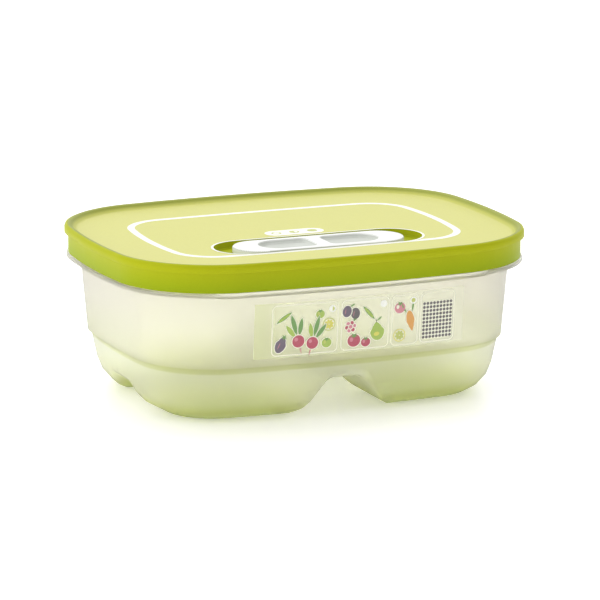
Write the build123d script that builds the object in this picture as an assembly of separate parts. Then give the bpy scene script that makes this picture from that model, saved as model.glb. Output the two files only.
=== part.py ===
from build123d import *
import math
import os

# Low produce keeper: a frosted tub, a soft press-fit lid and a sliding air vent
# Millimetres, origin at the bottom centre, +X along the long side, +Y to the back, +Z up

# Plan outline of the lid: three tangent arcs a quarter, to which every other outline runs parallel
HALF_LENGTH = 116.0
HALF_WIDTH = 90.0
LONG_SIDE_RADIUS = 695.0
SHORT_SIDE_RADIUS = 361.0
CORNER_RADIUS = 56.0

# Heights of the outside
TOTAL_HEIGHT = 88.0
LEDGE_HEIGHT = 31.0
FLANGE_BOTTOM = 70.85

# Tub wall
TUB_WALL = 1.6
UPPER_WALL_INSET = 11.8
UPPER_WALL_DRAFT = 5.0
LEDGE_DEPTH = 1.6
LOWER_WALL_DRAFT = 12.0
COVE_RADIUS = 20.0
COVE_STEPS = 4

# Tub rim: the lift flange, its two finger grips and the bead round the top edge, which the lid snaps over
FLANGE_INSET = 1.0
FLANGE_THICKNESS = 1.5
GRIP_HALF_LENGTH = 76.0
GRIP_SETBACK = 0.5
GRIP_LIP = 0.6
GRIP_END_ROUND = 4.0
RIM_BEAD_REACH = 3.1
RIM_BEAD_HEIGHT = 3.0
RIM_BEAD_FLANK = 1.0

# Channels under the tub, which leave four feet
FRONT_CHANNEL_HEIGHT = 20.0
FRONT_CHANNEL_TOP = 9.0
FRONT_CHANNEL_FOOT = 27.0
SIDE_CHANNEL_HEIGHT = 11.5
SIDE_CHANNEL_TOP = 13.0
SIDE_CHANNEL_FOOT = 25.0
CHANNEL_ROOF_ROUND = 7.0
CHANNEL_FOOT_ROUND = 18.0
CHANNEL_DROP = 0.4
MOUTH_RADIUS = 10.0
MOUTH_SWEEP = 60.0
MOUTH_STEPS = 3

# Drip ribs on the floor of each foot
RIB_HEIGHT = 1.4
RIB_WIDTH = 1.4
RIB_PITCH = 5.0
RIB_COUNT = 4
RIB_LENGTH = 34.0
RIB_CENTRE_X = 57.0
RIB_CENTRE_Y = 42.5

# Lid
LID_BEAD_HEIGHT = 5.0
LID_BEAD_FLANK = 0.8
CREST_WIDTH = 2.4
CREST_ROUND = 1.6
CREST_STEPS = 2
SKIRT_INSET = 1.9
SKIRT_WALL = 1.7
SKIRT_GAP = 0.15
PANEL_DROP = 3.0
PANEL_THICKNESS = 1.6
PANEL_COVE_RADIUS = 4.0
SNAP_RIDGE_HEIGHT = 2.4
SNAP_RIDGE_RAISE = 3.0
PLUG_WALL = 1.5
PLUG_DEPTH = 6.0
RUNNING_GAP = 0.3

# Vent well in the lid panel
VENT_Y = -34.0
WELL_WIDTH = 35.0
WELL_DEPTH = 3.6
WELL_WALL = 1.6
WELL_CHAMFER = 0.8

# Vent slider, with a finger scoop each side of a crossbar
SLIDER_LENGTH = 95.0
SLIDER_WIDTH = 29.0
SLIDER_PROUD = 0.3
SLIDER_CHAMFER = 0.6
SCOOP_REACH = 33.5
SCOOP_WIDTH = 21.0
SCOOP_DEPTH = 2.2
SCOOP_CORNER = 4.0
SCOOP_CHAMFER = 1.5
CROSSBAR_WIDTH = 7.0
AIR_GROOVE_DEPTH = 0.8
AIR_GROOVE_MARGIN = 0.5

# Split legs under the slider, which pass through the well and carry the seal and the shutter
LEG_X = 20.0
LEG_LENGTH = 6.0
LEG_WIDTH = 8.0
LEG_SPLIT = 1.6
LEG_FIT_GAP = 0.1
BARB_REACH = 0.9
BARB_HEIGHT = 1.4
SHUTTER_LENGTH = 76.0
SHUTTER_WIDTH = 27.0
SHUTTER_THICKNESS = 1.6
SEAL_THICKNESS = 1.2
SEAL_MARGIN = 1.0

# Air holes: the left pair opens in the first half of the travel, the right pair in the second
VENT_TRAVEL = 10.0
AIR_HOLE_RADIUS = 2.5
AIR_HOLE_X = 14.0
AIR_HOLE_SPREAD = 8.5

# Levels and insets that follow from the sizes above
LONG_CENTRE = Vector(0, HALF_WIDTH - LONG_SIDE_RADIUS)
SHORT_CENTRE = Vector(HALF_LENGTH - SHORT_SIDE_RADIUS, 0)
LOWER_WALL_INSET = UPPER_WALL_INSET + LEDGE_DEPTH
FLANGE_TOP = FLANGE_BOTTOM + FLANGE_THICKNESS
SKIRT_BOTTOM = FLANGE_TOP + GRIP_LIP + SKIRT_GAP
PANEL_TOP = TOTAL_HEIGHT - PANEL_DROP
PANEL_UNDERSIDE = PANEL_TOP - PANEL_THICKNESS
RIM_TOP = PANEL_UNDERSIDE
WELL_FLOOR = PANEL_TOP - WELL_DEPTH
WELL_UNDERSIDE = WELL_FLOOR - WELL_WALL
WELL_LENGTH = SLIDER_LENGTH + 2 * (VENT_TRAVEL + RUNNING_GAP)
SLIDER_TOP = PANEL_TOP + SLIDER_PROUD
SEAL_BOTTOM = WELL_UNDERSIDE - SEAL_THICKNESS
SHUTTER_BOTTOM = SEAL_BOTTOM - SHUTTER_THICKNESS
LEG_BOTTOM = SHUTTER_BOTTOM - BARB_HEIGHT


def corner_centre():
    """Centre of the corner arc, tangent inside to the long-side and short-side arcs."""
    to_long = LONG_SIDE_RADIUS - CORNER_RADIUS
    to_short = SHORT_SIDE_RADIUS - CORNER_RADIUS
    line = SHORT_CENTRE - LONG_CENTRE
    along = (to_long**2 - to_short**2 + line.length**2) / (2 * line.length)
    across = math.sqrt(to_long**2 - along**2)
    heading = line.normalized()
    return LONG_CENTRE + heading * along + Vector(heading.Y, -heading.X) * across


CORNER_CENTRE = corner_centre()


def plan(inset, height):
    """Face of the plan outline, drawn in by inset all round, at a height."""
    reach = CORNER_RADIUS - inset
    long_end = CORNER_CENTRE + (CORNER_CENTRE - LONG_CENTRE).normalized() * reach
    short_end = CORNER_CENTRE + (CORNER_CENTRE - SHORT_CENTRE).normalized() * reach
    outward = ((long_end + short_end) / 2 - CORNER_CENTRE).normalized()
    back = ThreePointArc((-long_end.X, long_end.Y), (0, HALF_WIDTH - inset), long_end)
    corner = ThreePointArc(long_end, CORNER_CENTRE + outward * reach, short_end)
    right = ThreePointArc(short_end, (HALF_LENGTH - inset, 0), (short_end.X, -short_end.Y))
    front_corner = mirror(corner, about=Plane.XZ)
    left_edges = [mirror(edge, about=Plane.YZ) for edge in (corner, front_corner, right)]
    edges = [back, corner, right, front_corner, mirror(back, about=Plane.XZ), *left_edges]
    return Pos(0, 0, height) * make_face(edges)


def plan_prism(inset, low, high):
    """Upright solid of the plan outline between two heights."""
    return extrude(plan(inset, low), high - low)


def plan_stack(levels):
    """Solid through (inset, height) levels, lowest first, straight from each to the next."""
    return loft([plan(inset, height) for inset, height in levels], ruled=True)


def edges_at(solid, height):
    """Edges of a solid that lie level at a height."""
    return [edge for edge in solid.edges() if abs(edge.center().Z - height) < 0.01]


def upper_inset(height):
    """Inset of the tub's upper wall at a height."""
    return UPPER_WALL_INSET - (height - LEDGE_HEIGHT) * math.tan(math.radians(UPPER_WALL_DRAFT))


def lower_inset(height):
    """Inset of the tub's lower wall at a height, with the cove left out."""
    return LOWER_WALL_INSET + (LEDGE_HEIGHT - height) * math.tan(math.radians(LOWER_WALL_DRAFT))


RIM_INSET = upper_inset(FLANGE_BOTTOM)
RIM_MIDDLE = RIM_INSET + TUB_WALL / 2
RIM_INNER_INSET = RIM_INSET + TUB_WALL
RIM_BEAD_INSET = RIM_INSET - RIM_BEAD_REACH
PLUG_INSET = RIM_INNER_INSET + RUNNING_GAP


def lower_mass(wall):
    """Tub below the ledge, drawn in by a wall thickness, with a cove tangent to floor and wall."""
    radius = COVE_RADIUS - wall
    centre = lower_inset(COVE_RADIUS) + wall + radius / math.cos(math.radians(LOWER_WALL_DRAFT))
    levels = []
    for step in range(COVE_STEPS + 1):
        angle = math.radians(90 - (90 - LOWER_WALL_DRAFT) * step / COVE_STEPS)
        levels.append((centre - radius * math.cos(angle), COVE_RADIUS - radius * math.sin(angle)))
    ledge = LEDGE_HEIGHT + wall
    return plan_stack([*levels, (lower_inset(ledge) + wall, ledge)])


def upper_outside():
    """Outside of the tub above the ledge, up to the rim bead that the lid's snap ridge passes."""
    bead_low = RIM_TOP - RIM_BEAD_HEIGHT
    return plan_stack([
        (UPPER_WALL_INSET, LEDGE_HEIGHT),
        (RIM_INSET, FLANGE_BOTTOM),
        (RIM_INSET, bead_low),
        (RIM_BEAD_INSET, bead_low + RIM_BEAD_FLANK),
        (RIM_BEAD_INSET, RIM_TOP - RIM_BEAD_FLANK),
        (RIM_INSET, RIM_TOP),
    ])


def upper_inside():
    """Hollow of the tub above the ledge, up through the rim."""
    ledge = LEDGE_HEIGHT + TUB_WALL
    return plan_stack([
        (upper_inset(ledge) + TUB_WALL, ledge),
        (RIM_INNER_INSET, FLANGE_BOTTOM),
        (RIM_INNER_INSET, RIM_TOP + TUB_WALL),
    ])


def channel_section(height, top, foot, wall, flare):
    """Channel profile in the XZ plane, offset by a wall and widened by a flare."""
    grow = wall + flare
    base = wall - CHANNEL_DROP
    run = (foot - top) / (height + CHANNEL_DROP)
    shift = grow * math.hypot(1, run)
    half_top = top + shift - grow * run
    half_foot = foot + shift - wall * run
    half_sill = half_foot + 2 * CHANNEL_FOOT_ROUND
    roof = height + grow
    right_side = [(half_top, roof), (half_foot, base), (half_sill, base), (half_sill, base - CHANNEL_DROP)]
    left_side = [(-x, z) for x, z in reversed(right_side)]
    face = make_face(Polyline(*right_side, *left_side, close=True))
    roof_corners = [corner for corner in face.vertices() if abs(corner.Y - roof) < 0.01]
    face = fillet(roof_corners, CHANNEL_ROOF_ROUND + grow)
    foot_corners = [corner for corner in face.vertices() if abs(abs(corner.X) - half_foot) < 0.01]
    return Plane.XZ * fillet(foot_corners, CHANNEL_FOOT_ROUND - grow)


def channel(height, top, foot, half_side, wall):
    """Channel along Y with a bell mouth at each end, where it rounds into the lower wall."""
    sweep = math.radians(MOUTH_SWEEP)
    mouth_top = height + MOUTH_RADIUS * (1 - math.cos(sweep))
    start = half_side - lower_inset(mouth_top) - MOUTH_RADIUS * math.sin(sweep)
    radius = MOUTH_RADIUS - wall
    front = []
    for step in range(MOUTH_STEPS + 1):
        angle = sweep * step / MOUTH_STEPS
        section = channel_section(height, top, foot, wall, radius * (1 - math.cos(angle)))
        front.append(Pos(0, -start - radius * math.sin(angle), 0) * section)
    front.append(Pos(0, -MOUTH_RADIUS, 0) * front[-1])
    back = [mirror(section, about=Plane.XZ) for section in reversed(front)]
    return loft(back + front, ruled=True)


def carve_channels(mass, wall):
    """Tub mass with both channels cut, which cross under its middle."""
    front = channel(FRONT_CHANNEL_HEIGHT, FRONT_CHANNEL_TOP, FRONT_CHANNEL_FOOT, HALF_WIDTH, wall)
    side = channel(SIDE_CHANNEL_HEIGHT, SIDE_CHANNEL_TOP, SIDE_CHANNEL_FOOT, HALF_LENGTH, wall)
    return mass - front - Rot(0, 0, -90) * side


def drip_ribs():
    """Low ribs on the floor of each foot, which keep produce out of the wet."""
    height = TUB_WALL + RIB_HEIGHT
    rib = Pos(0, 0, height / 2) * Box(RIB_LENGTH, RIB_WIDTH, height)
    ribs = []
    for index in range(RIB_COUNT):
        across = RIB_CENTRE_Y + (index - (RIB_COUNT - 1) / 2) * RIB_PITCH
        for x in (-RIB_CENTRE_X, RIB_CENTRE_X):
            ribs += [Pos(x, across, 0) * rib, Pos(x, -across, 0) * rib]
    return ribs


def flange():
    """Lift flange round the rim, replaced by a thicker finger grip on both long sides."""
    grip_low = FLANGE_BOTTOM - GRIP_LIP
    grip_high = FLANGE_TOP + GRIP_LIP
    grip_height = grip_high - grip_low
    middle = Pos(0, 0, (grip_low + grip_high) / 2)
    grip = plan_prism(FLANGE_INSET + GRIP_SETBACK, grip_low, grip_high)
    grip &= middle * Box(2 * GRIP_HALF_LENGTH, 2 * HALF_WIDTH, grip_height)
    grip = fillet(grip.edges().filter_by(Axis.Z), GRIP_END_ROUND)
    plate = plan_prism(FLANGE_INSET, FLANGE_BOTTOM, FLANGE_TOP)
    plate -= middle * Box(2 * (GRIP_HALF_LENGTH - GRIP_END_ROUND), 2 * HALF_WIDTH, grip_height)
    return plate + grip - plan_prism(RIM_MIDDLE, grip_low, grip_high)


def tub():
    """Thin-walled tub on four feet, open at the top."""
    outside = carve_channels(lower_mass(0) + upper_outside(), 0)
    shell = outside - carve_channels(lower_mass(TUB_WALL) + upper_inside(), TUB_WALL)
    for rib in drip_ribs():
        shell += rib & outside
    return shell + flange()


def stadium(length, width, low, high):
    """Upright solid with two straight sides and round ends, in the middle of the vent."""
    return Pos(0, VENT_Y, low) * extrude(SlotOverall(length, width), high - low)


def passage(x, y, length, width, low, high):
    """Upright rectangular passage, placed from the middle of the vent."""
    return Pos(x, VENT_Y + y, (low + high) / 2) * Box(length, width, high - low)


def leg_hole(x, travel, gap, low, high):
    """Passage for a slider leg, with room for its travel."""
    return passage(x, 0, LEG_LENGTH + travel + 2 * gap, LEG_WIDTH + 2 * gap, low, high)


def lid_shell():
    """Lid without its vent: crest, sunk panel, skirt, snap ridge and plug ring."""
    bead_low = TOTAL_HEIGHT - LID_BEAD_HEIGHT
    crest = [(SKIRT_INSET, bead_low), (0, bead_low + LID_BEAD_FLANK)]
    for step in range(CREST_STEPS + 1):
        angle = math.radians(90 * step / CREST_STEPS)
        inset = CREST_ROUND * (1 - math.cos(angle))
        crest.append((inset, TOTAL_HEIGHT - CREST_ROUND * (1 - math.sin(angle))))
    skirt_inner = SKIRT_INSET + SKIRT_WALL
    shell = plan_stack(crest) - dish() + plan_prism(SKIRT_INSET, SKIRT_BOTTOM, PANEL_UNDERSIDE)
    shell -= plan_prism(skirt_inner, SKIRT_BOTTOM, PANEL_UNDERSIDE)
    plug_low = PANEL_UNDERSIDE - PLUG_DEPTH
    plug = plan_prism(PLUG_INSET, plug_low, PANEL_UNDERSIDE)
    plug -= plan_prism(PLUG_INSET + PLUG_WALL, plug_low, PANEL_UNDERSIDE)
    return shell + plug + snap_ridge(skirt_inner)


def dish():
    """Hollow above the panel, whose side is a cove and the crest's inner round, tangent to each other."""
    turn = math.acos(1 - PANEL_DROP / (PANEL_COVE_RADIUS + CREST_ROUND))
    run = (PANEL_COVE_RADIUS + CREST_ROUND) * math.sin(turn)
    cove = []
    crest = []
    for step in range(CREST_STEPS + 1):
        angle = turn * step / CREST_STEPS
        rise = 1 - math.cos(angle)
        cove_inset = CREST_WIDTH + run - PANEL_COVE_RADIUS * math.sin(angle)
        cove.append((cove_inset, PANEL_TOP + PANEL_COVE_RADIUS * rise))
        crest.append((CREST_WIDTH + CREST_ROUND * math.sin(angle), TOTAL_HEIGHT - CREST_ROUND * rise))
    return plan_stack(cove + crest[-2::-1])


def snap_ridge(skirt_inner):
    """Pointed ridge inside the skirt, which sits below the tub's bead."""
    low = SKIRT_BOTTOM + SNAP_RIDGE_RAISE
    middle = low + SNAP_RIDGE_HEIGHT / 2
    high = low + SNAP_RIDGE_HEIGHT
    tip_inset = RIM_BEAD_INSET - RUNNING_GAP
    ridge = plan_prism(SKIRT_INSET + SKIRT_WALL / 2, low, high)
    return ridge - plan_stack([(skirt_inner, low), (tip_inset, middle), (skirt_inner, high)])


def lid():
    """Press-fit lid with a well for the slider, air holes and the slots for its legs."""
    hull = stadium(WELL_LENGTH + 2 * WELL_WALL, WELL_WIDTH + 2 * WELL_WALL, WELL_UNDERSIDE, PANEL_TOP)
    hull = chamfer(edges_at(hull, WELL_UNDERSIDE), WELL_CHAMFER)
    pocket = stadium(WELL_LENGTH, WELL_WIDTH, WELL_FLOOR, TOTAL_HEIGHT)
    pocket = chamfer(edges_at(pocket, WELL_FLOOR), WELL_CHAMFER)
    body = lid_shell() + hull - pocket
    for x in (-AIR_HOLE_X, AIR_HOLE_X):
        for y in (-AIR_HOLE_SPREAD, AIR_HOLE_SPREAD):
            body -= Pos(x, VENT_Y + y, WELL_FLOOR) * Cylinder(AIR_HOLE_RADIUS, 2 * WELL_DEPTH)
    for x in (-LEG_X, LEG_X):
        body -= leg_hole(x, 2 * VENT_TRAVEL, RUNNING_GAP, WELL_UNDERSIDE, PANEL_TOP)
    return body


def snap_leg(x):
    """Split leg with a barb on both outer sides, which holds the shutter from below."""
    half_split = LEG_SPLIT / 2
    half_width = LEG_WIDTH / 2
    root = WELL_FLOOR + AIR_GROOVE_DEPTH
    outline = [
        (0, root),
        (0, WELL_FLOOR),
        (half_split, WELL_FLOOR),
        (half_split, LEG_BOTTOM),
        (half_width, LEG_BOTTOM),
        (half_width + BARB_REACH, SHUTTER_BOTTOM),
        (half_width, SHUTTER_BOTTOM),
        (half_width, root),
    ]
    prong = extrude(Plane.YZ * make_face(Polyline(*outline, close=True)), LEG_LENGTH / 2, both=True)
    return Pos(x, VENT_Y, 0) * (prong + mirror(prong, about=Plane.XZ))


def vent_slider():
    """Slider with two finger scoops, an air groove below and two snap legs."""
    body = stadium(SLIDER_LENGTH, SLIDER_WIDTH, WELL_FLOOR, SLIDER_TOP)
    body = chamfer(edges_at(body, SLIDER_TOP), SLIDER_CHAMFER)
    scoop_floor = SLIDER_TOP - SCOOP_DEPTH
    scoops = stadium(2 * SCOOP_REACH, SCOOP_WIDTH, scoop_floor, TOTAL_HEIGHT)
    scoops -= Pos(0, VENT_Y, TOTAL_HEIGHT) * Box(CROSSBAR_WIDTH, SCOOP_WIDTH, 2 * TOTAL_HEIGHT)
    beside_bar = [edge for edge in scoops.edges().filter_by(Axis.Z) if abs(edge.center().X) < CROSSBAR_WIDTH]
    scoops = fillet(beside_bar, SCOOP_CORNER)
    body -= chamfer(edges_at(scoops, scoop_floor), SCOOP_CHAMFER)
    groove_width = 2 * (AIR_HOLE_SPREAD + AIR_HOLE_RADIUS + AIR_GROOVE_MARGIN)
    body -= Pos(0, VENT_Y, WELL_FLOOR) * Box(SLIDER_LENGTH, groove_width, 2 * AIR_GROOVE_DEPTH)
    return body + snap_leg(-LEG_X) + snap_leg(LEG_X)


def vent_plate(length, width, low, high):
    """Plate under the well with the passages for the legs and the two pairs of air windows."""
    plate = stadium(length, width, low, high)
    for x in (-LEG_X, LEG_X):
        plate -= leg_hole(x, 0, LEG_FIT_GAP, low, high)
    window = 2 * AIR_HOLE_RADIUS
    for y in (-AIR_HOLE_SPREAD, AIR_HOLE_SPREAD):
        plate -= passage(-AIR_HOLE_X - VENT_TRAVEL / 2, y, VENT_TRAVEL + window, window, low, high)
        plate -= passage(AIR_HOLE_X - VENT_TRAVEL, y, window, window, low, high)
    return plate


def vent_shutter():
    """Stiff plate that the legs hold up against the seal."""
    return vent_plate(SHUTTER_LENGTH, SHUTTER_WIDTH, SHUTTER_BOTTOM, SEAL_BOTTOM)


def vent_seal():
    """Soft pad that slides along the underside of the well."""
    length = SHUTTER_LENGTH - 2 * SEAL_MARGIN
    width = SHUTTER_WIDTH - 2 * SEAL_MARGIN
    return vent_plate(length, width, SEAL_BOTTOM, WELL_UNDERSIDE)


PARTS = {
    "tub": tub,
    "lid": lid,
    "vent_slider": vent_slider,
    "vent_shutter": vent_shutter,
    "vent_seal": vent_seal,
}


os.makedirs("parts", exist_ok=True)
for name, make in PARTS.items():
    export_step(make(), f"parts/{name}.step")
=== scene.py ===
"""Low produce keeper: finishes for the tub, lid and vent, the prints on the lid and the label on the wall."""

import logging
import math
from collections.abc import Callable
from dataclasses import dataclass, field
from enum import Enum

import bpy
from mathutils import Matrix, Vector


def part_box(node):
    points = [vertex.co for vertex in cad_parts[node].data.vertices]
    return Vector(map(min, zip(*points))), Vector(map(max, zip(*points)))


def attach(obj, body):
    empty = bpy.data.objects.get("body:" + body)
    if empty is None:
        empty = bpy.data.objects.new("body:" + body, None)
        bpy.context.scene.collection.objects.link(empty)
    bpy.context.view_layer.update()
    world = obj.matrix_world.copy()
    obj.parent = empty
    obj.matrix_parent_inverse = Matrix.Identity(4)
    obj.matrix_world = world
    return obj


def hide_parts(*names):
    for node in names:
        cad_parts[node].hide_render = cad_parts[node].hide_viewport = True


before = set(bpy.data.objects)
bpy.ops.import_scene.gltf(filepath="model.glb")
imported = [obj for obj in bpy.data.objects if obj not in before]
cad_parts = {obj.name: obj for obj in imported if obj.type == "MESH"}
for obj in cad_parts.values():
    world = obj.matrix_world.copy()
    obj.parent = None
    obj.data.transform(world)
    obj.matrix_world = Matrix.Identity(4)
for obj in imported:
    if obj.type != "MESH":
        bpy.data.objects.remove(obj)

LOG = logging.getLogger("keeper")
MM = 0.001
Point = tuple[float, float]


def linear(hex_colour: str) -> tuple[float, float, float, float]:
    """Turn an sRGB hex colour to linear RGBA.

    Args:
        hex_colour: Six hex digits, such as "F2F1DC".

    Returns:
        Linear red, green, blue and an alpha of 1.
    """
    channels = [int(hex_colour[i:i + 2], 16) / 255 for i in (0, 2, 4)]
    light = [c / 12.92 if c <= 0.04045 else ((c + 0.055) / 1.055) ** 2.4 for c in channels]
    return (*light, 1.0)


def add_node(tree: bpy.types.NodeTree, kind: str, settings: dict | None = None,
             inputs: dict | None = None) -> bpy.types.Node:
    """Add one node, set it up and link it.

    Args:
        tree: The material's node tree.
        kind: Blender's node type name.
        settings: Attribute names and their values.
        inputs: Socket names or numbers, each with a value or the output socket to link from.

    Returns:
        The new node.
    """
    node = tree.nodes.new(kind)
    for name, value in (settings or {}).items():
        setattr(node, name, value)
    for name, value in (inputs or {}).items():
        if isinstance(value, bpy.types.NodeSocket):
            tree.links.new(value, node.inputs[name])
        else:
            node.inputs[name].default_value = value
    return node


def new_material(
        name: str, **shader: object) -> tuple[bpy.types.Material, bpy.types.NodeTree, bpy.types.Node]:
    """Make a material with one Principled shader.

    Args:
        name: The material's name.
        shader: Values for the shader's sockets, with underscores for spaces.

    Returns:
        The material, its node tree and the shader node.
    """
    material = bpy.data.materials.new(name)
    material.use_nodes = True
    tree = material.node_tree
    principled = tree.nodes["Principled BSDF"]
    for socket, value in shader.items():
        principled.inputs[socket.replace("_", " ")].default_value = value
    return material, tree, principled


def mix_colours(tree: bpy.types.NodeTree, factor: bpy.types.NodeSocket, first: object,
                second: object) -> bpy.types.NodeSocket:
    """Mix two colours by a factor.

    Args:
        tree: The material's node tree.
        factor: 0 gives the first colour and 1 the second.
        first: A linear colour or a socket.
        second: A linear colour or a socket.

    Returns:
        The mixed colour.
    """
    mix = add_node(tree, "ShaderNodeMix", {"data_type": "RGBA"}, {"Factor": factor, 6: first, 7: second})
    return mix.outputs[2]


@dataclass(frozen=True)
class Fade:
    """A smooth change of colour along one axis of a piece.

    Args:
        axis: "X", "Y" or "Z".
        stops: Places in millimetres and their sRGB colours, in rising order.
    """

    axis: str
    stops: tuple[tuple[float, str], ...]

    def colour(self, tree: bpy.types.NodeTree) -> bpy.types.NodeSocket:
        """Add the fade to a tree.

        Args:
            tree: The material's node tree.

        Returns:
            The colour.
        """
        place = add_node(tree, "ShaderNodeTexCoord")
        split = add_node(tree, "ShaderNodeSeparateXYZ", inputs={0: place.outputs["Object"]})
        shade: object = linear(self.stops[0][1])
        for (low, _), (high, hex_colour) in zip(self.stops, self.stops[1:]):
            step = add_node(tree, "ShaderNodeMapRange", {"interpolation_type": "SMOOTHSTEP"},
                            {"Value": split.outputs[self.axis], "From Min": low * MM, "From Max": high * MM})
            shade = mix_colours(tree, step.outputs["Result"], shade, linear(hex_colour))
        return shade


@dataclass(frozen=True)
class Grain:
    """Moulded surface grain.

    Args:
        size_mm: Width of one grain.
        height_mm: Height of the grain.
        strength: Share of the grain's slope that shows.
    """

    size_mm: float
    height_mm: float
    strength: float = 1.0

    def noise(self, tree: bpy.types.NodeTree) -> bpy.types.NodeSocket:
        """Add the grain's pattern to a tree.

        Args:
            tree: The material's node tree.

        Returns:
            Values about 0.5.
        """
        place = add_node(tree, "ShaderNodeTexCoord")
        noise = add_node(tree, "ShaderNodeTexNoise", inputs={
            "Vector": place.outputs["Object"], "Scale": 1 / (self.size_mm * MM), "Detail": 2.0})
        return noise.outputs["Fac"]

    def bump(self, tree: bpy.types.NodeTree) -> bpy.types.NodeSocket:
        """Add the grain as relief to a tree.

        Args:
            tree: The material's node tree.

        Returns:
            The bumped normal.
        """
        bump = add_node(tree, "ShaderNodeBump", inputs={
            "Strength": self.strength, "Distance": self.height_mm * MM, "Height": self.noise(tree)})
        return bump.outputs["Normal"]


@dataclass(frozen=True)
class FrostedPolypropylene:
    """Injection-moulded translucent polypropylene from an etched mould."""

    # Light scatters in the milky wall, so it glows softly and shows only blurs of what lies behind.
    # It turns lime towards the feet: this green is painted light, the lid's green light scattered down
    # the wall and gathered at the base. Between the feet and the ledge the wall is painted whiter than
    # above the ledge, a painted lift against the shade on the lower wall.
    # The ledge is thicker than the wall, so it shows as a deeper band.
    fade: Fade = Fade("Z", (
        (0.0, "AEC032"), (2.5, "E8EDA0"), (12.0, "FBFCE2"), (27.4, "FBFCEC"), (28.6, "E4E7BC"),
        (31.0, "E4E7BC"), (31.8, "F1F0DE"), (62.0, "F4F1E8")))
    transmission: float = 0.78
    roughness: float = 0.46
    ior: float = 1.15
    alpha: float = 0.8
    grain: Grain = Grain(size_mm=0.7, height_mm=0.02, strength=0.25)

    def build(self) -> bpy.types.Material:
        """Make the material.

        Returns:
            The material.
        """
        material, tree, shader = new_material(
            "frosted_polypropylene_moulded", Roughness=self.roughness, IOR=self.ior,
            Transmission_Weight=self.transmission, Alpha=self.alpha)
        tree.links.new(self.fade.colour(tree), shader.inputs["Base Color"])
        tree.links.new(self.grain.bump(tree), shader.inputs["Normal"])
        return material


@dataclass(frozen=True)
class SoftPolyethylene:
    """Injection-moulded low-density polyethylene.

    Args:
        name: The material's name.
        fade: Its colour by height.
        roughness: The surface's roughness.
        sheen: Strength of its reflection.
        grain: Its moulded grain.
        mottle: Share by which the grain's hollows are deeper in colour.
    """

    # A waxy plastic with a soft sheen. The smooth rim shows the lime deep. The grained panel is the same
    # plastic and matte; its paler colour is a painted reflection of the white surroundings, and its turn
    # to olive up the dish's inner wall is a painted dark reflection.
    name: str
    fade: Fade
    roughness: float
    sheen: float
    grain: Grain
    mottle: float = 0.1

    def build(self) -> bpy.types.Material:
        """Make the material.

        Returns:
            The material.
        """
        material, tree, shader = new_material(
            self.name, Roughness=self.roughness, IOR=1.51, Specular_IOR_Level=self.sheen,
            Subsurface_Weight=0.12, Subsurface_Scale=0.003, Subsurface_Radius=(1.0, 1.0, 0.25))
        depth = add_node(tree, "ShaderNodeMapRange", inputs={
            "Value": self.grain.noise(tree), "To Min": 1 - self.mottle, "To Max": 1.0})
        colour = add_node(tree, "ShaderNodeVectorMath", {"operation": "SCALE"}, {
            0: self.fade.colour(tree), "Scale": depth.outputs["Result"]})
        tree.links.new(colour.outputs["Vector"], shader.inputs["Base Color"])
        tree.links.new(self.grain.bump(tree), shader.inputs["Normal"])
        return material


@dataclass(frozen=True)
class WhitePlastic:
    """Moulded opaque white plastic.

    Args:
        name: The material's name.
        light: Its main colour.
        deep: Its faint flow marks' colour.
        roughness: The surface's roughness.
    """

    # Smooth and slightly glossy, with long soft highlights and no see-through at the edges.
    name: str
    light: str
    deep: str
    roughness: float
    flow: Grain = Grain(size_mm=14.0, height_mm=0.02, strength=0.4)

    def build(self) -> bpy.types.Material:
        """Make the material.

        Returns:
            The material.
        """
        material, tree, shader = new_material(self.name, Roughness=self.roughness, IOR=1.49)
        colour = mix_colours(tree, self.flow.noise(tree), linear(self.deep), linear(self.light))
        tree.links.new(colour, shader.inputs["Base Color"])
        tree.links.new(self.flow.bump(tree), shader.inputs["Normal"])
        return material


@dataclass(frozen=True)
class PrintInk:
    """Pad-printed ink.

    Args:
        name: The ink's name.
        colour: Its colour where it is thick.
    """

    # A thin even coat, a little lighter in specks where it didn't take.
    name: str
    colour: str
    roughness: float = 0.5
    mottle: float = 0.1
    speck: Grain = Grain(size_mm=0.8, height_mm=0.01)

    def build(self) -> bpy.types.Material:
        """Make the material.

        Returns:
            The material.
        """
        material, tree, shader = new_material(f"ink_{self.name}_printed", Roughness=self.roughness, IOR=1.48)
        full = linear(self.colour)
        thin = tuple(c + (1 - c) * self.mottle for c in full[:3]) + (1.0,)
        tree.links.new(mix_colours(tree, self.speck.noise(tree), full, thin), shader.inputs["Base Color"])
        return material


@dataclass(frozen=True)
class LabelFilm:
    """Printed polypropylene film, moulded into the wall."""

    # A pale tint over the frosted wall, which still glows through it.
    fade: Fade = Fade("X", ((-52.0, "E4E9B4"), (-30.0, "F0F2CE"), (60.0, "F4F4DC")))
    alpha: float = 0.55
    roughness: float = 0.4

    def build(self) -> bpy.types.Material:
        """Make the material.

        Returns:
            The material.
        """
        material, tree, shader = new_material(
            "polypropylene_film_printed", Roughness=self.roughness, IOR=1.49, Alpha=self.alpha)
        tree.links.new(self.fade.colour(tree), shader.inputs["Base Color"])
        return material


class Ink(Enum):
    """The inks on the lid and the label."""

    WHITE = PrintInk("white", "F7F8F0")
    CREAM = PrintInk("cream", "F3F2DC")
    LIME = PrintInk("lime", "BFC765")
    LEAF = PrintInk("leaf", "6C9A4C")
    SPRING = PrintInk("spring", "A3BE4C")
    RED = PrintInk("red", "B6465A")
    ROSE = PrintInk("rose", "D38591")
    PLUM = PrintInk("plum", "6A5D6C")
    GREY = PrintInk("grey", "5E5957")
    YELLOW = PrintInk("yellow", "DAD45C")
    ORANGE = PrintInk("orange", "DE9F4A")

    def material(self) -> bpy.types.Material:
        """Give this ink's material, made once."""
        return bpy.data.materials.get(f"ink_{self.value.name}_printed") or self.value.build()


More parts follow.
